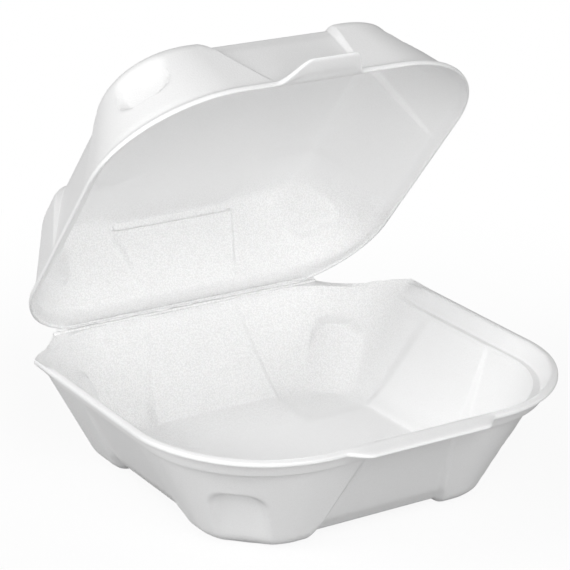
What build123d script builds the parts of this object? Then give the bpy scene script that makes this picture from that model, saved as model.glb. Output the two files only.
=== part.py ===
from build123d import *
import math
import os

# A hinged foam clamshell: a tray and a lid pressed from one sheet, joined by a crease at the back.
# All sizes are in millimetres. X runs across the front, -Y is the front, +Y the crease, +Z up.
# The origin is in the middle of the tray's feet, on the surface that the tray stands on.

# The sheet
sheet = 1.8                 # thickness of the foam
closing_gap = 0.3           # from the crease's level to the lid's rim, when the lid lies on the tray

# The tray's rim, and how far each pressed line lies inside its cut edge
tray_width = 150.0
tray_front = 76.0           # from the middle of the floor to the rim's front edge
tray_rear_overrun = 6.9     # how far the rim would pass the crease, if it wasn't cut away
rim_front_radius = 44.0
rim_rear_radius = 38.0
tray_height = 41.0          # crest of the rim
rim_drop = 1.9              # from the crest down to the underside of the rim at its cut edge
rim_roll = 0.4              # from the crest down to the top of the cut edge
crest_inset = 2.4           # crest of the rim
rim_round = 1.0             # how far the rim's inner edge is rounded, across and down
overhang = 2.0              # from the cut edge in to the top of the band below it
band_inset = 4.4            # foot of the raised band, at the shoulder
shoulder_inset = 6.0        # top of the walls
ledge_inset = 5.6           # foot of the band on the inside, at the ledge
post_inset = 23.5           # corner posts, at the feet
panel_inset = 26.3          # flat wall panels, at the floor
tray_panel_fade = 0.4       # what is left of a panel's depth at the shoulder
tray_rear_wall = 0.5        # from the crease forward to the top of the rear wall
tray_rear_post = 15.7       # to the rear posts, at the feet
tray_rear_panel = 18.1      # to the rear panel, at the floor

# The crease and the cuts beside it
ledge_height = 35.3         # ledge inside the rim, level with the crease
crease_y = 67.1
crease_half = 52.8          # half the length of the crease
tip_back = 30.5             # from the crease forward to where the cut corner starts on the side of the rim
crease_ridge = 0.5          # from the crease to the edges of the square ridge pressed along it
leaf_gap = 0.35             # from the ridge to the edge of the lid
leaf_depth = 6.0            # how far the lid's edge strip reaches in from the crease
ramp_length = 29.1          # from the crease forward to where the rim starts to run down to it
ramp_angle = 18.0

# The front lip of the tray
lip_reach = 5.0
lip_root_half = 27.5
lip_tip_half = 22.0
lip_round = 2.0

# The lid, measured forward from the crease, and up from it when closed
lid_width = 139.4
lid_length = 135.2          # to the rim's front edge
lid_rear_overrun = 1.4      # how far the rim's rounding would pass the crease
lid_front_radius = 40.5
lid_rear_radius = 34.0
lid_height = 33.1           # top of the corner posts
lid_flare = 2.2             # height of the flare beside the rim
lid_rim_face = 1.8          # width of the flat on the rim
lid_wall_inset = 3.3        # top of the walls, inside the rim's cut edge
lid_rear_wall = 7.3         # the rear wall, beside the rim
lid_post_inset = 17.9       # corner posts, at the crown
lid_rear_post = 13.6
lid_panel_inset = 20.2      # flat wall panels, at the crown
lid_rear_panel = 16.4
lid_panel_fade = 0.4
lid_open_angle = 49.4       # from lying on the crease's level to where the lid stands

# The lid's front tab
tab_reach = 7.8
tab_rise = 2.0
tab_root_half = 17.0
tab_tip_half = 9.2
tab_round = 3.0
bump_side = 5.5             # the locking bump's place across the tab
bump_radius = 5.0
bump_top_radius = 2.6
bump_height = 1.2

# Pressed detail, the same in both halves
panel_half = 24.3           # half the width of a wall panel, at the floor or the crown
panel_half_top = 16.4       # and beside the rim
panel_step_angle = 35.0     # slope of the panel's sides
foot_drop = 1.8             # how far the feet stand below the floor
crown_drop = 1.3            # how far the lid's posts stand above its crown
post_round = 8.5            # rounding at the end of the posts
post_round_steps = 3        # straight steps that the rounding is pressed in
recess_width = 17.5         # hollow pressed into each corner post
recess_depth = 3.2          # at its arched top
recess_end_depth = 1.0      # at the post's end
recess_share = 0.6          # its height, over the height of the wall
recess_corner = 4.0         # how much of the arch's corners is cut off
recess_draft = 20.0

# How far cutting forms reach past the material
past = 12.0
far = 200.0

diagonal = math.sqrt(0.5)


def outline(half_x, y_front, y_rear, front_radius, rear_radius, z):
    """The rounded four-sided outline of a pressing at height z."""
    flat = Rectangle(2 * half_x, y_rear - y_front)
    flat = fillet(flat.vertices().group_by(Axis.Y)[0], front_radius)
    flat = fillet(flat.vertices().group_by(Axis.Y)[-1], rear_radius)
    return Pos(0, (y_front + y_rear) / 2, z) * flat


class Rim:
    """The cut edge of a pressing, and the lines that run inside it."""

    def __init__(self, half, front, rear, front_radius, rear_radius):
        self.sides = (half, front, rear)
        self.radii = (front_radius, rear_radius)

    def at(self, inset, z):
        """The outline at height z, moved in from the cut edge."""
        half, front, rear = self.sides
        front_radius, rear_radius = [radius - inset for radius in self.radii]
        return outline(half - inset, front + inset, rear - inset, front_radius, rear_radius, z)

    def through(self, levels):
        """A solid that passes straight from each (inset, height) to the next."""
        return loft([self.at(inset, z) for inset, z in levels], ruled=True)


class Walls:
    """The four leaning walls of a pressing, from its posts' ends (z = 0) to their top."""

    def __init__(self, height, foot, top, panels, drop, fade):
        # foot and top hold half width, front, rear and both corner radii; panels hold the first three
        self.height = height
        self.foot = foot
        self.top = top
        self.panels = panels
        self.drop = drop
        self.fade = fade

    def at(self, z, inset):
        """The posts' outline at height z, moved in."""
        share = z / self.height
        half, front, rear, *radii = [a + (b - a) * share for a, b in zip(self.foot, self.top)]
        front_radius, rear_radius = [radius - inset for radius in radii]
        return outline(half - inset, front + inset, rear - inset, front_radius, rear_radius, z)

    def solid(self, depth, rounding):
        """The form inside the walls, depth inside their outer face, its bottom edge rounded in steps."""
        lean = math.atan2(self.top[0] - self.foot[0], self.height)
        skin = depth / math.cos(lean)
        whole_turn = math.pi / 2 - lean
        tangent = rounding * math.tan(whole_turn / 2)
        sections = []
        for step in range(post_round_steps + 1):
            turn = whole_turn * step / post_round_steps
            rise = rounding * (1 - math.cos(turn))
            short = tangent - rounding * math.sin(turn) + rise * math.tan(lean)
            sections.append(self.at(depth + rise, skin + short))
        sections.append(self.at(self.height + depth, skin))
        return loft(sections, ruled=True)

    def sides(self):
        """Each side's way out, and its panel's middle line from the floor to the top."""
        half, front, rear = self.panels
        top_half, top_front, top_rear = self.top[:3]
        middle = (front + rear) / 2
        top_half = top_half - self.fade
        return [
            (Vector(0, -1, 0), Vector(0, front, self.drop), Vector(0, top_front + self.fade, self.height)),
            (Vector(0, 1, 0), Vector(0, rear, self.drop), Vector(0, top_rear - self.fade, self.height)),
            (Vector(1, 0, 0), Vector(half, middle, self.drop), Vector(top_half, middle, self.height)),
            (Vector(-1, 0, 0), Vector(-half, middle, self.drop), Vector(-top_half, middle, self.height)),
        ]

    def corners(self):
        """Each corner post's way out, and its middle line from end to top."""
        lines = []
        for side in (-1, 1):
            for way, place in ((-1, 1), (1, 2)):
                ends = []
                for numbers, z in ((self.foot, 0), (self.top, self.height)):
                    radius = numbers[place + 2]
                    back = radius * (1 - diagonal)
                    ends.append(Vector(side * (numbers[0] - back), numbers[place] - way * back, z))
                lines.append((Vector(side, way, 0).normalized(), ends[0], ends[1]))
        return lines


def wall_plane(way_out, foot, top, depth):
    """A plane that leans with a wall, its Y up the wall, moved in by depth."""
    across = Vector(-way_out.Y, way_out.X, 0)
    normal = across.cross((top - foot).normalized())
    return Plane(origin=foot - normal * depth, x_dir=across, z_dir=normal)


def panel_cut(way_out, foot, top, growth, depth):
    """What a flat panel takes off a wall: wide at the floor and narrow beside the rim."""
    length = (top - foot).length
    taper = (panel_half - panel_half_top) / length
    wide = panel_half + growth + taper * past
    narrow = panel_half_top + growth - taper * past
    corners = [(-wide, -past), (wide, -past), (narrow, length + past), (-narrow, length + past)]
    flat = wall_plane(way_out, foot, top, depth) * make_face(Polyline(*corners, close=True))
    return extrude(flat, amount=past, taper=-panel_step_angle)


def recess_cut(way_out, foot, top, growth, depth):
    """What the hollow takes off a corner post: a flat, deepest at its arched top."""
    reach = (top - foot).length * recess_share + growth
    deep_top = top - way_out * (recess_depth - recess_end_depth) / recess_share
    flat = Pos(0, (reach - past) / 2) * Rectangle(recess_width + 2 * growth, reach + past)
    flat = chamfer(flat.vertices().group_by(Axis.Y)[-1], recess_corner + growth / 2)
    flat = wall_plane(way_out, foot, deep_top, recess_end_depth + depth) * flat
    return extrude(flat, amount=past, taper=-recess_draft)


def step_growth(angle, depth):
    """How much wider a pressed step gets on the far face of the sheet."""
    slope = math.radians(angle)
    return depth * (1 / math.cos(slope) - math.tan(slope))


def pressed_walls(walls, depth):
    """The form inside a pressing's walls and floor, on the sheet's outer face (0) or depth inside it."""
    form = walls.solid(depth, post_round - depth / 2)
    for way_out, foot, top in walls.sides():
        form -= panel_cut(way_out, foot, top, step_growth(panel_step_angle, depth), depth)
    for way_out, foot, top in walls.corners():
        form -= recess_cut(way_out, foot, top, step_growth(recess_draft, depth), depth)
    middle = (walls.panels[1] + walls.panels[2]) / 2
    floor = walls.drop + depth
    wide = 2 * (panel_half + depth)
    form -= Pos(0, middle, floor - past / 2) * Box(wide, far, past)
    form -= Pos(0, middle, floor - past / 2) * Box(far, wide, past)
    return form


def ramp(start_z, lowest):
    """All that lies over the slope that runs down to the crease, and over a lowest level."""
    start = crease_y - ramp_length
    block = Pos(0, 0, far / 2) * Box(2 * far, 2 * far, far)
    block = Pos(0, start, start_z) * Rot(-ramp_angle, 0, 0) * block
    return block & Pos(0, start + far / 2, lowest + far / 2) * Box(2 * far, far, far)


def tray():
    """The lower half, standing on its feet, with the ridge of the crease along its back."""
    wall_top = ledge_height - sheet
    underside = tray_height - rim_drop
    half = tray_width / 2
    radii = (rim_front_radius, rim_rear_radius)
    rim = Rim(half, -tray_front, crease_y + tray_rear_overrun, *radii)
    foot_radii = [radius - post_inset for radius in radii]
    top_radii = [radius - shoulder_inset for radius in radii]
    walls = Walls(
        wall_top,
        (half - post_inset, post_inset - tray_front, crease_y - tray_rear_post, *foot_radii),
        (half - shoulder_inset, shoulder_inset - tray_front, crease_y - tray_rear_wall, *top_radii),
        (half - panel_inset, panel_inset - tray_front, crease_y - tray_rear_panel),
        foot_drop,
        tray_panel_fade,
    )
    outside = [
        (band_inset, wall_top),
        (overhang, underside - rim_roll),
        (0, underside),
        (0, tray_height - rim_roll),
        (crest_inset, tray_height),
    ]
    inside = [
        (ledge_inset, ledge_height),
        (crest_inset + rim_round, tray_height - rim_round),
        (crest_inset, tray_height),
        (crest_inset, tray_height + past),
    ]
    outer = pressed_walls(walls, 0) + rim.through(outside)
    inner = pressed_walls(walls, sheet) + rim.through(inside)
    outer += ramp(tray_height - sheet, wall_top)
    inner += ramp(tray_height, ledge_height)
    formed = outer - inner

    lip = [
        (-lip_root_half, crest_inset - tray_front),
        (lip_root_half, crest_inset - tray_front),
        (lip_tip_half, -tray_front - lip_reach),
        (-lip_tip_half, -tray_front - lip_reach),
    ]
    lip_face = make_face(Polyline(*lip, close=True))
    lip_face = fillet(lip_face.vertices().group_by(Axis.Y)[0], lip_round)
    lip_solid = Pos(0, 0, underside) * extrude(lip_face, rim_drop - rim_roll)

    slope = tip_back / (half - crease_half)
    wing = half + past
    wing_y = crease_y - tip_back - past * slope
    cut = [
        (-wing, -far),
        (wing, -far),
        (wing, wing_y),
        (crease_half, crease_y),
        (-crease_half, crease_y),
        (-wing, wing_y),
    ]
    blank = extrude(make_face(Polyline(*cut, close=True)), tray_height + past)
    blank &= extrude(rim.at(0, 0), tray_height + past)
    ridge_side = crease_ridge / diagonal
    ridge = Box(2 * crease_half, ridge_side, ridge_side)
    ridge = Pos(0, crease_y, ledge_height) * Rot(45, 0, 0) * ridge
    return (formed & blank) + lip_solid + ridge


def lid():
    """The upper half, pressed as a tray of its own, turned over and opened about the crease."""
    rim_top = lid_height - closing_gap
    rim_edge = rim_top - sheet
    wall_top = rim_edge - lid_flare
    half = lid_width / 2
    front = crease_y - lid_length
    radii = (lid_front_radius, lid_rear_radius)
    rim = Rim(half, front, crease_y + lid_rear_overrun, *radii)
    foot_radii = [radius - lid_post_inset for radius in radii]
    top_radii = [radius - lid_wall_inset for radius in radii]
    walls = Walls(
        wall_top,
        (half - lid_post_inset, front + lid_post_inset, crease_y - lid_rear_post, *foot_radii),
        (half - lid_wall_inset, front + lid_wall_inset, crease_y - lid_rear_wall, *top_radii),
        (half - lid_panel_inset, front + lid_panel_inset, crease_y - lid_rear_panel),
        crown_drop,
        lid_panel_fade,
    )
    outside = [
        (lid_wall_inset, wall_top),
        (0, rim_edge),
        (0, rim_top),
    ]
    inside = [
        (lid_wall_inset + sheet / 2, wall_top + sheet),
        (lid_rim_face, rim_top),
        (lid_rim_face, rim_top + past),
    ]
    outer = pressed_walls(walls, 0) + rim.through(outside)
    inner = pressed_walls(walls, sheet) + rim.through(inside)
    edge = crease_y - crease_ridge - leaf_gap
    formed = (outer - inner) & Pos(0, edge - far / 2, 0) * Box(far, far, far)
    strip = Pos(0, edge - leaf_depth / 2, rim_edge + sheet / 2) * Box(2 * crease_half, leaf_depth, sheet)
    strip -= inner

    tilt = math.atan2(tab_rise, tab_reach)
    root = -lid_rim_face
    points = [
        (-tab_root_half, root),
        (tab_root_half, root),
        (tab_root_half, 0),
        (tab_tip_half, tab_reach),
        (-tab_tip_half, tab_reach),
        (-tab_root_half, 0),
    ]
    tab_face = make_face(Polyline(*points, close=True))
    tab_face = fillet(tab_face.vertices().group_by(Axis.Y)[-1], tab_round)
    outward = Vector(0, -math.cos(tilt), -math.sin(tilt))
    plane = Plane(origin=(0, front, rim_top), x_dir=(-1, 0, 0), z_dir=Vector(-1, 0, 0).cross(outward))
    tab = extrude(plane * tab_face, amount=-sheet)

    bump = Pos(bump_side, front, rim_top + bump_height / 2) * Cone(bump_radius, bump_top_radius, bump_height)
    bump &= Pos(bump_side, front, rim_top) * Box(far, 2 * lid_rim_face, 2 * bump_height)

    whole = formed + strip + tab + bump
    whole = mirror(whole, Plane.XY)
    whole = Pos(0, 0, ledge_height + lid_height) * whole
    hinge = Pos(0, crease_y, ledge_height)
    return hinge * Rot(-lid_open_angle, 0, 0) * hinge.inverse() * whole


os.makedirs("parts", exist_ok=True)
for name, shape in (("base_tray", tray()), ("lid", lid())):
    print(name, len(shape.solids()), round(shape.volume, 1), shape.bounding_box())
    export_step(shape, f"parts/{name}.step")
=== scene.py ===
import math

import bmesh
import bpy
import numpy as np
from mathutils import Matrix, Vector, noise


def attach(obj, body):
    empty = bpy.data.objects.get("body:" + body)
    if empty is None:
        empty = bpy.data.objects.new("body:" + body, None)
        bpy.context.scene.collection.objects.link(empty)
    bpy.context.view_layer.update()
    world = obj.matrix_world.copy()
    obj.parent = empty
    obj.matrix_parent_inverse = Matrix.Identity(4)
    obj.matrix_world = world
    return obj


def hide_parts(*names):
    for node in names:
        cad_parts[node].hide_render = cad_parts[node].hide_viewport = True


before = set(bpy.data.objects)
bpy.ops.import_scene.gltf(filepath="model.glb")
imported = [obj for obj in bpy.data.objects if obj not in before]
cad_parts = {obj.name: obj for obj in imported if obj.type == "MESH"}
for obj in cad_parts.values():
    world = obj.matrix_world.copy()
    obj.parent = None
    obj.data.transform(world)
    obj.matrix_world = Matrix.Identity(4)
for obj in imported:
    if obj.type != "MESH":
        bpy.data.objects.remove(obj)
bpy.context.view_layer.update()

# Lengths of the box are in millimetres. The grain, the stage and the lights are in metres.
MM = 0.001
SHEET = 1.8                             # thickness of the foam

# The crease, and how far the lid stands open from lying level with it
CREASE_Y = 67.1
CREASE_Z = 35.3
CREASE_HALF = 52.8
OPEN_ANGLE = math.radians(49.4)

# The tray. An inset is measured inwards from the cut edge of the rim.
TRAY_HALF = 75.0
TRAY_FRONT, TRAY_REAR = -76.0, 74.0     # the rim, before its rear corners are cut off
TRAY_RADII = 45.0, 38.0                 # of the rim's front and rear corners
TRAY_MIDDLE = -0.35
TRAY_CENTRE = 74.0                      # inset at the middle of the floor
TRAY_FOOT = 23.5                        # inset of the posts at their feet
TRAY_SHOULDER = 6.0                     # inset of the walls' top
TRAY_WALL_TOP = 33.5
TRAY_UNDERSIDE = 39.1                   # of the rim's cut edge
TRAY_CREST = 41.0
TRAY_LEDGE = 7.1                        # inset of the ledge's end, on the inside
TRAY_LEDGE_END = 34.8                   # its height, where it turns down into the wall
TRAY_POSTS = 37.8                       # height that the hollows are a share of
TRAY_REAR_FOOT, TRAY_REAR_TOP = 0.9, -1.4       # how far back the rear wall stands
TRAY_WALLS = 5.6, 6.6, 24, 30           # insets over which the walls begin and end
TRAY_PANEL_IN, TRAY_PANEL_OUT = 3.3, 2.3        # depth of the wall panels, at the floor
TRAY_SOFT_IN, TRAY_SOFT_OUT = 1.3, 1.1          # half the width of the step beside a panel
TRAY_CROWD_IN, TRAY_CROWD_OUT = 1.8, 1.6        # half the width that its columns crowd into
TRAY_RIM = 2.5, 5.8                     # insets over which the rim's columns turn into the walls'
TRAY_RIM_STEP, TRAY_RIM_CROWD = 24.75, 4.2
TRAY_HOLLOW = 1.6, 3.4, 0.8             # depth at the foot and the arch, half width of its edge
TRAY_HOLLOW_RIGHT = 2.6, 4.4, 0.5       # the same inside the right posts, which are pressed deeper
TRAY_HOLLOW_BEGINS = 0.1
TRAY_TUCKS = 1.0, 1.3                   # how far the front and the rear posts are drawn in
FLOOR_LIFT = 1.8                        # of the floor over the feet

# The tray's rim: its lip, its fall to the front, and the leaf behind the tips of the cut corners
LIP_REACH = 5.0
LIP_TIP_HALF, LIP_ROOT_HALF = 21.2, 27.9
LIP_DEPTH = 2.4                         # how far in from the cut edge the lip is drawn out
FRONT_DROP, FRONT_DROP_OVER = 0.12, (-76.0, -44.0)      # shares of the band's height
REAR_RISE, REAR_RISE_OVER = 0.04, (-30.0, 30.0)
TIP_Y = 36.6                            # where the corner cuts start, on the sides of the rim
CUT_BACK = 0.25                         # from the crease to the tray's rear edge
LEAF_RISE = 6.2                         # of the tips over the crease
LEAF_FALL = -4.0, 33.0                  # distance down the cut over which the leaf falls
LEAF_OVER = 24.0, 38.0                  # where the band turns into the leaf, along Y
LEAF_EDGE_ROUND = 1.4
NEARLY_NONE = 1e-6

# The lid, as it lies when it is closed: along from the crease, and from its crown to its rim
LID_HALF = 69.7
LID_FRONT, LID_REAR = -135.2, 1.4
LID_RADII = 40.5, 34.0
LID_MIDDLE = -66.9
LID_TOP = 33.1                          # top of the posts, over the crease
LID_POST = 17.9                         # inset of the posts at the crown
LID_SHOULDER = 3.3                      # inset of the walls' end, at the rim
LID_WALL_TOP = 28.8
LID_POSTS = 32.3                        # height that the hollows are a share of
LID_REAR_CROWN, LID_REAR_RIM = 2.9, -5.4
LID_WALLS = 2.6, 4.2, 20, 26
LID_PANEL = 2.9
LID_PANEL_REAR = 2.6, 4.6               # climb over which the panel inside the rear wall begins
LID_PANEL_FAINT = 0.6                   # share that the right one loses towards the rear
LID_SOFT_IN, LID_SOFT_OUT, LID_SOFT_REAR = 1.2, 0.9, -0.4
LID_CROWD_IN, LID_CROWD_OUT = 1.7, 1.4
LID_RIM = 0.5, 3.2
LID_RIM_STEP, LID_RIM_CROWD = 13.3, 5.2
LID_HOLLOW_FOOT, LID_HOLLOW_BEGINS = 0.4, 9.0
LID_HOLLOW_IN, LID_HOLLOW_OUT = (2.8, 0.8), (4.2, 0.45)         # depth at the arch, half width of its edge
LID_TUCKS = -0.4, -0.9
LID_EDGE = 0.85                         # from the crease to the lid's edge
TAB_REACH, TAB_RISE, TAB_DEPTH = 7.7, 2.0, 1.8
TAB_LEFT_TIP, TAB_LEFT_ROOT = 6.5, 17.6
TAB_RIGHT_TIP, TAB_RIGHT_ROOT = 9.5, 13.8
CROWN_LIFT = 1.3                        # of the posts over the crown

# Panels, hollows and the raised cross, alike in both halves
PANEL_HALF = 24.3                       # half the width of a wall panel, at the posts' end
PANEL_HALF_RIM = 16.4                   # and beside the rim
PANEL_FADE = 0.35                       # depth of a panel beside the rim
INSIDE_GROWTH = 0.9                     # how much wider it all is on the inside
FAINT_STEP = 2.2                        # how much wider the steps are that hardly show
HOLLOW_HALF = 8.75
HOLLOW_ROUND = 5.0                      # radius of the corners of its arch
HOLLOW_SHARE = 0.6                      # its height, over that of the posts
HOLLOW_DRAWN_IN = 0.2                   # how far in from its outline its edge lies
LEAST_RADIUS = 1.0
CROSS_HALF = 24.6
CROSS_SOFT_IN, CROSS_SOFT_OUT = 5.0, 1.6
CROSS_END = 0.5, 9.0                    # climb over which the walls leave the cross

# Columns of a pressing: along half of a straight side, and round a corner
INNER_CELLS, STEP_CELLS, OUTER_CELLS = 8, 10, 6
CORNER_CELLS = 44
FRONT, RIGHT, REAR, LEFT = range(4)
SIDES_ALONG = [[1, 0], [0, 1], [-1, 0], [0, -1]]
SIDES_OUT = [[0, -1], [1, 0], [0, 1], [-1, 0]]
LONGEST_BEND = 0.48                     # share of a straight run that a bend may take
LEAST_SHRINK = 0.02                     # so that the middle of a pressing isn't a single point
CUT_MERGE = 1e-7
SHARP_ANGLE = math.radians(42)

# The crease's ridge and the two folds beside it on the lid: half length, radius, seed of its unevenness
RIDGE = CREASE_HALF, 0.7, 3.1
NEAR_FOLD, NEAR_FOLD_AT = (CREASE_HALF - 1, 0.3, 8.3), (1.5, 0.6)
FAR_FOLD, FAR_FOLD_AT = (CREASE_HALF - 2, 0.25, 5.7), (2.8, 0.4)
RIDGE_SIDES, RIDGE_CUTS = 12, 150
RIDGE_SWELL = (0.5, 260, 0.4), (0.3, 900, 2)    # amount, scale and layer of each unevenness
RIDGE_SWAY = 0.35, 150, 7

# The foam's skin
ROUGHNESS = 0.42
SPECULAR = 0.4
BEADS, SPECKS = 1900, 2100              # scales of the beads and of the speckle
BEAD_HEIGHT = 0.00018
SPECK_DETAIL = 2
# Strength of the beads and of the colour's speckle; the speckle's stronger tone on the rear walls is
# painted glint as well as grain
GRAIN_AND_GLINT = 0.2, 1.25                  # of both, in front and on the rear walls
REAR_FROM, REAR_TO = 0.02, 0.055        # where the rear walls begin, along Y
CROWN_FROM, CROWN_TO = 0.078, 0.062     # and where they end below the crown, along Z
SPECK_FROM, SPECK_TO = 0.33, 0.67
SPECK_STRENGTH = 0.8
DARKEST, LIGHTEST = 0.9, 1.0

# The stage
FLOOR_HALF = 4.0
FLOOR_BOUNCE = 0.35                     # the floor's tone for the light that it throws back
GLOW_NEAR, GLOW_FAR = 0.08, 0.3         # over this distance the floor turns plain white
GLOW_LEAST = 0.9
SKY = 0.28                              # of the world's light, where the camera sees plain white
LIGHT_TARGET = 0, 0, 0.06
LIGHT_SIZE = 0.6
LIGHTS = (
    ("key_low", (-0.3, -1.25, 0.22), 5.0),
    ("key", (-0.15, -1.0, 0.8), 4.6),
    ("key_left", (-0.8, -0.9, 0.6), 0.8),
    ("fill_left", (-1.1, 0.2, 0.6), 7.1),
    ("fill_right", (1.0, -0.6, 0.7), 1.2),
    ("low_left", (-1.2, -0.1, 0.12), 1.5),
)

# The photograph's viewpoint: turns in degrees, and place along the camera's own directions
AZIMUTH, ELEVATION, ROLL = -32.07, 19.86, 0.33
CAMERA_RIGHT, CAMERA_UP, CAMERA_BACK = -1.32, 58.49, 783.19
CAMERA_BASE = 0, 0, 2
SENSOR = 36
FOCAL_PIXELS, PICTURE_PIXELS = 2344.9, 570
CLIP_NEAR, CLIP_FAR = 0.01, 100


def smooth(low, high, value):
    """0 below low, 1 above high, and a smooth rise between them."""
    t = np.clip((value - low) / (high - low), 0.0, 1.0)
    return t * t * (3.0 - 2.0 * t)


def between(begins, full, fades, ends, value):
    """1 from full to fades, 0 before begins and after ends, and smooth in between."""
    return smooth(begins, full, value) * (1 - smooth(fades, ends, value))


def rounded_line(profile, bend_column):
    """Rows of inset, height and rear shift along a profile, bent by the radii in one of its columns."""
    corners = [np.array(point[:3], float) for point in profile]
    rows = [corners[0]]
    for i in range(1, len(profile)):
        run, around, bend = profile[i][3], profile[i][4], profile[i][bend_column]
        if i == len(profile) - 1:
            rows += [rows[-1] + (corners[i] - rows[-1]) * k / run for k in range(1, run + 1)]
            break
        before, here, after = corners[i - 1], corners[i], corners[i + 1]
        into, out = here - before, after - here
        length_in, length_out = np.hypot(*into[:2]), np.hypot(*out[:2])
        turn = math.acos(np.clip(np.dot(into[:2], out[:2]) / (length_in * length_out), -1, 1))
        reach = min(bend * math.tan(turn / 2), LONGEST_BEND * length_in, LONGEST_BEND * length_out)
        start, end = here - into * reach / length_in, here + out * reach / length_out
        rows += [rows[-1] + (start - rows[-1]) * k / run for k in range(1, run + 1)]
        for k in range(1, around + 1):
            t = k / around
            rows.append(start * (1 - t) ** 2 + 2 * here * t * (1 - t) + end * t * t)
    return np.array(rows)


class Columns:
    """Where each column of a pressing runs: which side or corner it is on, and how far along.
    A place runs from -3 to 3 along a side: up to 1 on the panel, up to 2 at its step, up to 3 beyond."""

    def __init__(self):
        half = list(np.linspace(0, 1, INNER_CELLS, endpoint=False))
        half += list(np.linspace(1, 2, STEP_CELLS, endpoint=False))
        half += list(np.linspace(2, 3, OUTER_CELLS, endpoint=False))
        along = [-3.0] + [-v for v in half[:0:-1]] + half
        round_corner = list(np.linspace(0, 1, CORNER_CELLS, endpoint=False))
        side, place, corner = [], [], []
        for s in range(4):
            side += [s] * (len(along) + CORNER_CELLS)
            place += along + [3.0] * CORNER_CELLS
            corner += [0.0] * len(along) + round_corner
        self.side, self.place, self.corner = np.array(side), np.array(place), np.array(corner)
        self.count = len(side)
        turn = (self.side + self.corner) * math.pi / 2 - math.pi / 2
        self.out = np.stack([np.cos(turn), np.sin(turn)])
        self.straight = self.corner == 0.0
        self.facing_y = self.side % 2 == 0
        self.on_front = (self.side == FRONT) & self.straight
        self.right_rear = (self.side == RIGHT) & (self.place > 0)
        self.on_panel = (1 - smooth(1.0, 2.0, np.abs(self.place))) * self.straight


COLUMNS = Columns()


class Plan:
    """The cut edge of a pressing seen from above, and what each column needs to know of it."""

    def __init__(self, half, front, rear, radii, middle):
        side, place = COLUMNS.side, COLUMNS.place
        front_radius, rear_radius = radii
        on_side = [side == FRONT, side == RIGHT, side == REAR]
        to_rear = np.select(on_side, [0, (place + 3) / 6, 1], (3 - place) / 6)
        self.radius = front_radius + (rear_radius - front_radius) * to_rear
        self.middle = middle
        self.core = half - self.radius
        core_front, core_rear = front + front_radius, rear - rear_radius
        facing = np.where(side == FRONT, middle - core_front, core_rear - middle)
        heads_rear = (side == RIGHT) == (place > 0)
        heading = np.where(heads_rear, core_rear - middle, middle - core_front)
        self.reach = np.where(COLUMNS.facing_y, facing, self.core)
        self.end = np.where(COLUMNS.facing_y, self.core, heading)

    def along(self, step_at, crowd):
        """How far each column is from the middle of its side: close together at the panel's step."""
        place = np.abs(COLUMNS.place)
        low, high = step_at - crowd, step_at + crowd
        first = low * np.clip(place, 0, 1)
        second = (high - low) * np.clip(place - 1, 0, 1)
        third = (self.end - high) * np.clip(place - 2, 0, 1)
        return np.sign(COLUMNS.place) * (first + second + third)

    def points(self, inset, shift, p, inward):
        """x and y of rows of points that run inset from the cut edge and are pressed inward."""
        ways = np.array(SIDES_ALONG, float)[COLUMNS.side]
        outs = np.array(SIDES_OUT, float)[COLUMNS.side]
        room = self.radius - inset
        shrink = np.clip(1 + room / self.core, LEAST_SHRINK, 1)
        grow = np.clip(room, 0, None) - inward
        x = (p * ways[:, 0] + self.reach * outs[:, 0]) * shrink + COLUMNS.out[0] * grow
        y = (p * ways[:, 1] + self.reach * outs[:, 1]) * shrink + COLUMNS.out[1] * grow
        y = y + shift * np.clip(COLUMNS.out[1], 0, 1) * shrink
        return x, y + self.middle


def stand(bm, name):
    """An object of this name from a finished bmesh."""
    mesh = bpy.data.meshes.new(name)
    bm.to_mesh(mesh)
    bm.free()
    thing = bpy.data.objects.new(name, mesh)
    bpy.context.scene.collection.objects.link(thing)
    return thing


def sheet_mesh(name, x, y, z, cuts):
    """A closed pressing: one ring of points drawn out row by row, closed at both ends, cut by planes."""
    rows = x.shape[0]
    bm = bmesh.new()
    column = bm.verts.layers.int.new("column")
    row = bm.verts.layers.int.new("row")
    bmesh.ops.create_circle(bm, cap_ends=False, radius=1.0, segments=COLUMNS.count)
    bm.verts.ensure_lookup_table()
    for i, v in enumerate(bm.verts):
        v[column] = i
        v[row] = 0
    ring = list(bm.edges)
    first = ring
    for i in range(1, rows):
        made = bmesh.ops.extrude_edge_only(bm, edges=ring)["geom"]
        new = set(v for v in made if isinstance(v, bmesh.types.BMVert))
        for v in new:
            v[row] = i
        edges = [e for e in made if isinstance(e, bmesh.types.BMEdge)]
        ring = [e for e in edges if all(v in new for v in e.verts)]
    for v in bm.verts:
        i, k = v[row], v[column]
        v.co = (x[i, k] * MM, y[i, k] * MM, z[i, k] * MM)
    bmesh.ops.holes_fill(bm, edges=first, sides=0)
    bmesh.ops.holes_fill(bm, edges=ring, sides=0)
    for point, way in cuts:
        geom = list(bm.verts) + list(bm.edges) + list(bm.faces)
        place, facing = Vector(point) * MM, Vector(way)
        cut = bmesh.ops.bisect_plane(
            bm, geom=geom, dist=CUT_MERGE, plane_co=place, plane_no=facing, clear_outer=True
        )["geom_cut"]
        edges = [e for e in cut if isinstance(e, bmesh.types.BMEdge)]
        bmesh.ops.triangle_fill(bm, use_beauty=True, use_dissolve=False, edges=edges)
    bmesh.ops.recalc_face_normals(bm, faces=list(bm.faces))
    piece = stand(bm, name)
    piece.data.shade_smooth()
    piece.data.set_sharp_from_angle(angle=SHARP_ANGLE)
    return piece


def two_profiles(profile):
    """Inset, height and rear shift for every row and column: bent one way at the posts, another at
    the panels. A profile's point is its inset, height, rear shift, rows before it, rows round its
    bend, and the radius of the bend at the posts and at the panels."""
    posts = rounded_line(profile, 5)[:, :, None]
    panels = rounded_line(profile, 6)[:, :, None]
    rows = posts + (panels - posts) * COLUMNS.on_panel
    return rows[:, 0], rows[:, 1], rows[:, 2]


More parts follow.
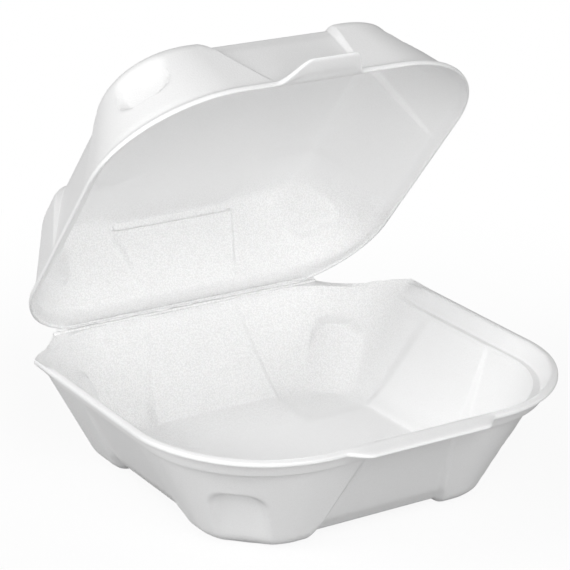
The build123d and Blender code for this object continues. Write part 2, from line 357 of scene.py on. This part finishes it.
def wall_skin(height, outermost, wall_top):
    """For every point: whether it is past the outermost row, and so on the inside; how far it is up
    the wall; the same as a share of the wall; and how much wider panels and hollows are there."""
    inside = (np.arange(len(height)) > outermost)[:, None]
    climb = height - np.where(inside, SHEET, 0.0)
    return inside, climb, np.clip(climb / wall_top, 0, 1), np.where(inside, INSIDE_GROWTH, 0.0)


def panel_edge(share, growth):
    """Half the width of the wall panels, from the posts' end to the rim."""
    return PANEL_HALF + growth + (PANEL_HALF_RIM - PANEL_HALF) * share


def pressed_walls(plan, inset, climb, reach, p, step_at, softness, depth, growth, hollow, tucks):
    """How far each point of the walls is pressed in, by the flat panels and by the hollows in the
    posts. climb runs up the wall from the end of the posts, and reach is the hollows' height. hollow
    is their depth at the foot and at the arch, the climb over which they begin, and half the width
    of their edge. tucks draw in the front and the rear posts."""
    panel = depth * (1 - smooth(step_at - softness, step_at + softness, np.abs(p)))

    # The hollow: a flat face across the post, inside an arched outline
    radius = np.clip(plan.radius - inset, LEAST_RADIUS, None)
    angle = (COLUMNS.corner - 0.5) * math.pi / 2
    rounding = HOLLOW_ROUND + growth
    past_side = np.abs(radius * np.sin(angle)) - (HOLLOW_HALF + growth - rounding)
    past_arch = climb - (reach + growth - rounding)
    past_both = np.hypot(np.clip(past_side, 0, None), np.clip(past_arch, 0, None))
    edge = past_both + np.minimum(np.maximum(past_side, past_arch), 0) - rounding
    at_foot, at_arch, begins, edge_half = hollow
    within = 1 - smooth(-edge_half, edge_half, edge + HOLLOW_DRAWN_IN)
    flat = at_foot + (at_arch - at_foot) * np.clip(climb / reach, 0, 1) - radius * (1 - np.cos(angle))
    pressed = np.clip(flat, 0, None) * within * smooth(0, begins, climb)
    tuck = np.where(COLUMNS.out[1] < 0, *tucks) * np.sin(math.pi * COLUMNS.corner) ** 2
    return np.where(COLUMNS.straight, panel, pressed + tuck)


def raised_cross(lift, x, y, middle, inside, climb):
    """How far each point of the floor or the crown is lifted, in a cross between the posts."""
    spread = np.where(inside, CROSS_SOFT_IN, CROSS_SOFT_OUT)
    across = 1 - smooth(CROSS_HALF - spread, CROSS_HALF + spread, np.abs(x))
    along = 1 - smooth(CROSS_HALF - spread, CROSS_HALF + spread, np.abs(y - middle))
    return lift * np.maximum(across, along) * (1 - smooth(*CROSS_END, climb))


def tray_points():
    """Every row and column of the tray, and the planes that cut its rear."""
    wall_top = TRAY_WALL_TOP
    lean = (TRAY_FOOT - TRAY_SHOULDER) / wall_top
    skin = SHEET * math.hypot(1, lean)
    inner_top = TRAY_FOOT - lean * TRAY_LEDGE_END + skin
    inner_foot = TRAY_FOOT - lean * SHEET + skin
    inset, height, shift = two_profiles([
        (TRAY_CENTRE, 0.0, 0.0, 0, 0, 0, 0),
        (TRAY_FOOT, 0.0, TRAY_REAR_FOOT, 26, 13, 9.5, 4.0),
        (TRAY_SHOULDER, wall_top, TRAY_REAR_TOP, 32, 3, 0.7, 0.7),
        (4.4, wall_top, 0.0, 1, 3, 0.8, 0.8),                   # foot of the rim's band
        (2.1, 38.8, 0.0, 4, 3, 0.7, 0.7),                       # top of the band
        (0.0, TRAY_UNDERSIDE, 0.0, 1, 2, 0.3, 0.3),             # the cut edge
        (0.0, 40.4, 0.0, 1, 4, 1.2, 1.2),
        (2.4, TRAY_CREST, 0.0, 1, 6, 2.6, 2.6),
        (5.5, CREASE_Z, 0.0, 4, 6, 1.2, 1.2),                   # the ledge inside the rim
        (inner_top, TRAY_LEDGE_END, TRAY_REAR_TOP, 1, 6, 3.0, 3.0),
        (inner_foot, SHEET, TRAY_REAR_FOOT, 32, 13, 9.0, 10.0),
        (TRAY_CENTRE, SHEET, 0.0, 26, 0, 0, 0),
    ])
    outermost = int(np.argmax(height[:, 0]))
    inside, climb, share, growth = wall_skin(height, outermost, wall_top)
    on_rim = 1 - smooth(*TRAY_RIM, inset)
    step_at = panel_edge(share, growth)
    step_at = step_at + (TRAY_RIM_STEP - step_at) * on_rim
    faint = FAINT_STEP * (inside & COLUMNS.right_rear)
    softness = np.where(inside, TRAY_SOFT_IN, TRAY_SOFT_OUT) + faint
    crowd = np.where(inside, TRAY_CROWD_IN, TRAY_CROWD_OUT) + faint
    crowd = crowd + (TRAY_RIM_CROWD - crowd) * on_rim
    plan = Plan(TRAY_HALF, TRAY_FRONT, TRAY_REAR, TRAY_RADII, TRAY_MIDDLE)
    p = plan.along(step_at, crowd)
    depth = np.where(inside, TRAY_PANEL_IN, TRAY_PANEL_OUT) * (1 - share) + PANEL_FADE * share
    right_inside = inside & (COLUMNS.out[0] > 0)
    both = zip(TRAY_HOLLOW_RIGHT, TRAY_HOLLOW)
    at_foot, at_arch, edge_half = [np.where(right_inside, right, left) for right, left in both]
    hollow = at_foot, at_arch, TRAY_HOLLOW_BEGINS, edge_half
    reach = HOLLOW_SHARE * TRAY_POSTS
    pressed = between(*TRAY_WALLS, inset) * pressed_walls(
        plan, inset, climb, reach, p, step_at, softness, depth, growth, hollow, TRAY_TUCKS
    )
    x, y = plan.points(inset, shift, p, pressed)

    # The lip: the rim's edge drawn out over the middle of the front
    lip = (1 - smooth(LIP_TIP_HALF, LIP_ROOT_HALF, np.abs(p))) * COLUMNS.on_front
    y = y - LIP_REACH * (lip * np.clip((LIP_DEPTH - inset) / LIP_DEPTH, 0, 1))

    z = height + raised_cross(FLOOR_LIFT, x, y, plan.middle, inside, climb)

    # Rim: lower at the front, and behind its tips a leaf that falls along the cut to the crease
    slope = math.hypot(TRAY_HALF - CREASE_HALF, CREASE_Y - TIP_Y)
    way_x, way_y = (CREASE_Y - TIP_Y) / slope, (TRAY_HALF - CREASE_HALF) / slope
    from_cut = (TRAY_HALF - np.abs(x)) * way_x + (TIP_Y - y) * way_y
    down_cut = (TRAY_HALF - np.abs(x)) * way_y + (y - TIP_Y) * way_x
    round_edge = np.clip((height - TRAY_UNDERSIDE) / LEAF_EDGE_ROUND, 0, 1)
    base = np.where(inside, CREASE_Z, wall_top + SHEET * round_edge)
    wall_inset = np.where(inside, TRAY_LEDGE, TRAY_SHOULDER)
    from_wall = np.clip(wall_inset - inset, 0, None)
    from_edge = np.clip(np.minimum(inset, from_cut), 0, None)
    rise = LEAF_RISE * (1 - smooth(*LEAF_FALL, down_cut))
    leaf = base + rise * from_wall / (from_wall + from_edge + NEARLY_NONE)
    drop = FRONT_DROP * (1 - smooth(*FRONT_DROP_OVER, y)) - REAR_RISE * smooth(*REAR_RISE_OVER, y)
    foot = np.where(inside, CREASE_Z, wall_top)
    band = foot + np.clip(z - foot, 0, None) * (1 - drop)
    z = np.where(inset < wall_inset, band + (leaf - band) * smooth(*LEAF_OVER, y), z)

    cuts = [
        ((0, CREASE_Y - CUT_BACK, 0), (0, 1, 0)),
        ((TRAY_HALF, TIP_Y, 0), (way_x, way_y, 0)),
        ((-TRAY_HALF, TIP_Y, 0), (-way_x, way_y, 0)),
    ]
    return x, y, z, cuts


def lid_points():
    """Every row and column of the lid where it stands open, and the plane that cuts its rear."""
    wall_top = LID_WALL_TOP
    lean = (LID_POST - LID_SHOULDER) / wall_top
    skin = SHEET * math.hypot(1, lean)
    inner_top = LID_SHOULDER + skin * 0.45                      # drawn out, so that the bend is soft
    inner_foot = LID_POST - lean * SHEET + skin
    inset, height, shift = two_profiles([
        (LID_HALF, 0.0, 0.0, 0, 0, 0, 0),
        (LID_POST, 0.0, LID_REAR_CROWN, 26, 13, 10.0, 4.5),
        (2.6, 29.6, LID_REAR_RIM, 32, 6, 4.0, 4.0),             # the flare
        (0.0, 31.1, 0.0, 2, 3, 1.4, 1.4),                       # the cut edge
        (0.0, 32.7, 0.0, 1, 4, 0.8, 0.8),
        (0.9, 32.7, 0.0, 1, 3, 0.6, 0.6),
        (1.3, 32.1, 0.0, 1, 3, 0.6, 0.6),
        (inner_top, wall_top + SHEET, LID_REAR_RIM, 4, 6, 6.0, 6.0),
        (inner_foot, SHEET, LID_REAR_CROWN, 32, 13, 8.5, 6.0),
        (LID_HALF, SHEET, 0.0, 26, 0, 0, 0),
    ])
    outermost = int(np.argmax(height[:, 0] - 0.01 * inset[:, 0]))       # of equal rows, the outer one
    inside, climb, share, growth = wall_skin(height, outermost, wall_top)
    on_rim = 1 - smooth(*LID_RIM, inset)
    step_at = panel_edge(share, growth)
    step_at = step_at + (LID_RIM_STEP - step_at) * on_rim
    rear_inside = inside & (COLUMNS.side == REAR)
    right_rear = inside & COLUMNS.right_rear
    faint = FAINT_STEP * right_rear
    softness = np.where(inside, LID_SOFT_IN, LID_SOFT_OUT) + LID_SOFT_REAR * rear_inside + faint
    crowd = np.where(inside, LID_CROWD_IN, LID_CROWD_OUT) + faint
    crowd = crowd + (LID_RIM_CROWD - crowd) * on_rim
    plan = Plan(LID_HALF, LID_FRONT, LID_REAR, LID_RADII, LID_MIDDLE)
    p = plan.along(step_at, crowd)
    depth = LID_PANEL + (PANEL_FADE - LID_PANEL) * share
    depth = depth * np.where(rear_inside, smooth(*LID_PANEL_REAR, climb), 1.0)
    depth = depth * (1 - LID_PANEL_FAINT * right_rear * np.clip(COLUMNS.place, 0, 1))
    both = zip(LID_HOLLOW_IN, LID_HOLLOW_OUT)
    at_arch, edge_half = [np.where(inside, inner, outer) for inner, outer in both]
    hollow = LID_HOLLOW_FOOT, at_arch, LID_HOLLOW_BEGINS, edge_half
    reach = HOLLOW_SHARE * LID_POSTS
    pressed = between(*LID_WALLS, inset) * pressed_walls(
        plan, inset, climb, reach, p, step_at, softness, depth, growth, hollow, LID_TUCKS
    )
    x, y = plan.points(inset, shift, p, pressed)

    # The tab: the rim's edge drawn out over the middle of the front, and a little upwards
    right_end = 1 - smooth(TAB_RIGHT_TIP, TAB_RIGHT_ROOT, p)
    left_end = 1 - smooth(TAB_LEFT_TIP, TAB_LEFT_ROOT, -p)
    tab = right_end * left_end * np.clip((TAB_DEPTH - inset) / TAB_DEPTH, 0, 1) * COLUMNS.on_front
    y = y - TAB_REACH * tab

    down = height + raised_cross(CROWN_LIFT, x, y, plan.middle, inside, climb)
    _, world_y, world_z = on_lid(-y, LID_TOP - down + TAB_RISE * tab)
    cos, sin = math.cos(OPEN_ANGLE), math.sin(OPEN_ANGLE)
    cuts = [((0, CREASE_Y - LID_EDGE * cos, CREASE_Z + LID_EDGE * sin), (0, cos, -sin))]
    return x, world_y, world_z, cuts


def on_lid(s, n):
    """A place on the open lid, half way across it, from where it is when the lid is closed: s forward
    from the crease, and n up from the crease's level."""
    cos, sin = math.cos(OPEN_ANGLE), math.sin(OPEN_ANGLE)
    return 0, CREASE_Y - s * cos + n * sin, CREASE_Z + s * sin + n * cos


def ridge_line(name, half, radius, seed, place):
    """A fine uneven ridge across the sheet."""
    bm = bmesh.new()
    thick, length = radius * MM, 2 * half * MM
    bmesh.ops.create_cone(
        bm, cap_ends=True, segments=RIDGE_SIDES, radius1=thick, radius2=thick, depth=length
    )
    across = Matrix.Rotation(math.pi / 2, 3, "Y")
    bmesh.ops.rotate(bm, verts=list(bm.verts), cent=(0, 0, 0), matrix=across)
    long_edges = [e for e in bm.edges if abs(e.verts[0].co.x - e.verts[1].co.x) > MM]
    bmesh.ops.subdivide_edges(bm, edges=long_edges, cuts=RIDGE_CUTS, use_grid_fill=False)
    sway_amount, sway_scale, sway_layer = RIDGE_SWAY
    for v in bm.verts:
        swell = 1
        for amount, scale, layer in RIDGE_SWELL:
            swell += amount * noise.noise(Vector((v.co.x * scale, seed, layer)))
        sway = sway_amount * radius * MM * noise.noise(Vector((v.co.x * sway_scale, seed, sway_layer)))
        v.co.y = v.co.y * swell + sway
        v.co.z *= swell
    bmesh.ops.translate(bm, verts=list(bm.verts), vec=[c * MM for c in place])
    bmesh.ops.recalc_face_normals(bm, faces=list(bm.faces))
    piece = stand(bm, name)
    piece.data.shade_smooth()
    return piece


def ranged(tree, value, low, high, to_low=0.0, to_high=1.0, interpolation="LINEAR"):
    """The value with low to high turned into to_low to to_high, and kept to that range."""
    node = tree.nodes.new("ShaderNodeMapRange")
    node.interpolation_type = interpolation
    node.inputs["From Min"].default_value = low
    node.inputs["From Max"].default_value = high
    node.inputs["To Min"].default_value = to_low
    node.inputs["To Max"].default_value = to_high
    tree.links.new(value, node.inputs["Value"])
    return node.outputs["Result"]


def times(tree, a, b):
    """The product of two values."""
    node = tree.nodes.new("ShaderNodeMath")
    node.operation = "MULTIPLY"
    tree.links.new(a, node.inputs[0])
    tree.links.new(b, node.inputs[1])
    return node.outputs[0]


def foam_material():
    """White foam: a satin skin over fine beads and a speckle in its colour, which show most at the back of
    both halves, where the speckle is painted glint as well as grain.
    """
    material = bpy.data.materials.new("white_foam")
    material.use_nodes = True
    tree = material.node_tree
    nodes, links = tree.nodes, tree.links
    shader = nodes["Principled BSDF"]
    shader.inputs["Roughness"].default_value = ROUGHNESS
    shader.inputs["Specular IOR Level"].default_value = SPECULAR
    place = nodes.new("ShaderNodeTexCoord").outputs["Object"]

    split = nodes.new("ShaderNodeSeparateXYZ")
    links.new(place, split.inputs[0])
    toward_rear = ranged(tree, split.outputs["Y"], REAR_FROM, REAR_TO)
    below_crown = ranged(tree, split.outputs["Z"], CROWN_FROM, CROWN_TO)
    # Stronger at the back of both halves, where the speckle painted into the colour stands for glints of
    # light as well as the foam's grain
    grain_and_glint = ranged(tree, times(tree, toward_rear, below_crown), 0.0, 1.0, *GRAIN_AND_GLINT)

    specks = nodes.new("ShaderNodeTexNoise")
    specks.inputs["Scale"].default_value = SPECKS
    specks.inputs["Detail"].default_value = SPECK_DETAIL
    links.new(place, specks.inputs["Vector"])
    # The speckle in the colour: the foam's grain, and painted glint where it is stronger on the rear walls
    tone = ranged(tree, specks.outputs["Fac"], SPECK_FROM, SPECK_TO, -SPECK_STRENGTH, SPECK_STRENGTH)
    white = ranged(tree, times(tree, tone, grain_and_glint), -0.5, 0.5, DARKEST, LIGHTEST)
    links.new(white, shader.inputs["Base Color"])

    beads = nodes.new("ShaderNodeTexVoronoi")
    beads.inputs["Scale"].default_value = BEADS
    links.new(place, beads.inputs["Vector"])
    bump = nodes.new("ShaderNodeBump")
    bump.invert = True
    bump.inputs["Distance"].default_value = BEAD_HEIGHT
    links.new(grain_and_glint, bump.inputs["Strength"])
    links.new(beads.outputs["Distance"], bump.inputs["Height"])
    links.new(bump.outputs["Normal"], shader.inputs["Normal"])
    return material


def floor_material():
    """White for the camera, plain further out, and darker for the light that it throws back."""
    material = bpy.data.materials.new("floor_white")
    material.use_nodes = True
    tree = material.node_tree
    nodes, links = tree.nodes, tree.links
    nodes.clear()
    seen = nodes.new("ShaderNodeLightPath").outputs["Is Camera Ray"]
    lit = nodes.new("ShaderNodeBsdfDiffuse")
    links.new(ranged(tree, seen, 0.0, 1.0, FLOOR_BOUNCE, 1.0), lit.inputs["Color"])
    glow = nodes.new("ShaderNodeEmission")
    glow.inputs["Strength"].default_value = 1.0
    coords = nodes.new("ShaderNodeTexCoord")
    distance = nodes.new("ShaderNodeVectorMath")
    distance.operation = "LENGTH"
    links.new(coords.outputs["Object"], distance.inputs[0])
    clear = ranged(tree, distance.outputs["Value"], GLOW_NEAR, GLOW_FAR, GLOW_LEAST, 1.0, "SMOOTHSTEP")
    mix = nodes.new("ShaderNodeMixShader")
    links.new(times(tree, seen, clear), mix.inputs["Fac"])
    links.new(lit.outputs[0], mix.inputs[1])
    links.new(glow.outputs[0], mix.inputs[2])
    out = nodes.new("ShaderNodeOutputMaterial")
    links.new(mix.outputs[0], out.inputs["Surface"])
    return material


def make_stage():
    """The floor, and a world that is plain white for the camera and dimmer as a light."""
    bm = bmesh.new()
    bmesh.ops.create_grid(bm, x_segments=1, y_segments=1, size=FLOOR_HALF)
    floor = stand(bm, "floor")
    floor.data.materials.append(floor_material())

    world = bpy.data.worlds.new("studio")
    bpy.context.scene.world = world
    world.use_nodes = True
    tree = world.node_tree
    back = tree.nodes["Background"]
    path = tree.nodes.new("ShaderNodeLightPath")
    strength = ranged(tree, path.outputs["Is Camera Ray"], 0.0, 1.0, SKY, 1.0)
    tree.links.new(strength, back.inputs["Strength"])
    back.inputs["Color"].default_value = (1, 1, 1, 1)


def area_light(name, place, energy):
    """A round soft light that shines on the middle of the box."""
    lamp = bpy.data.lights.new(name, "AREA")
    lamp.shape = "DISK"
    lamp.size = LIGHT_SIZE
    lamp.energy = energy
    thing = bpy.data.objects.new(name, lamp)
    bpy.context.scene.collection.objects.link(thing)
    thing.location = place
    thing.rotation_mode = "QUATERNION"
    thing.rotation_quaternion = (Vector(LIGHT_TARGET) - Vector(place)).to_track_quat("-Z", "Y")


def make_camera():
    """The photograph's viewpoint."""
    azimuth, elevation, roll = map(math.radians, (AZIMUTH, ELEVATION, ROLL))
    level = math.cos(elevation)
    back = Vector((math.sin(azimuth) * level, -math.cos(azimuth) * level, math.sin(elevation)))
    right = Vector((math.cos(azimuth), math.sin(azimuth), 0))
    up = back.cross(right).normalized()
    cos, sin = math.cos(roll), math.sin(roll)
    right, up = cos * right + sin * up, -sin * right + cos * up
    centre = CAMERA_RIGHT * right + CAMERA_UP * up + CAMERA_BACK * back + Vector(CAMERA_BASE)
    camera = bpy.data.cameras.new("camera")
    camera.sensor_width = SENSOR
    camera.lens = SENSOR * FOCAL_PIXELS / PICTURE_PIXELS
    camera.clip_start, camera.clip_end = CLIP_NEAR, CLIP_FAR
    thing = bpy.data.objects.new("camera", camera)
    bpy.context.scene.collection.objects.link(thing)
    thing.matrix_world = Matrix((
        (right.x, up.x, back.x, centre.x * MM),
        (right.y, up.y, back.y, centre.y * MM),
        (right.z, up.z, back.z, centre.z * MM),
        (0, 0, 0, 1),
    ))
    bpy.context.scene.camera = thing


foam = foam_material()
tray = sheet_mesh("foam_tray", *tray_points())
lid = sheet_mesh("foam_lid", *lid_points())
crease = ridge_line("foam_crease", *RIDGE, (0, CREASE_Y, CREASE_Z))
fold_near = ridge_line("fold_near", *NEAR_FOLD, on_lid(*NEAR_FOLD_AT))
fold_far = ridge_line("fold_far", *FAR_FOLD, on_lid(*FAR_FOLD_AT))
for piece in (tray, lid, crease, fold_near, fold_far):
    piece.data.materials.append(foam)
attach(tray, "tray")
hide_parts("base_tray")
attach(lid, "cover")
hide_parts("lid")
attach(crease, "tray")
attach(fold_near, "cover")
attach(fold_far, "cover")

make_stage()
for light in LIGHTS:
    area_light(*light)
make_camera()
bpy.context.scene.view_settings.view_transform = "Standard"
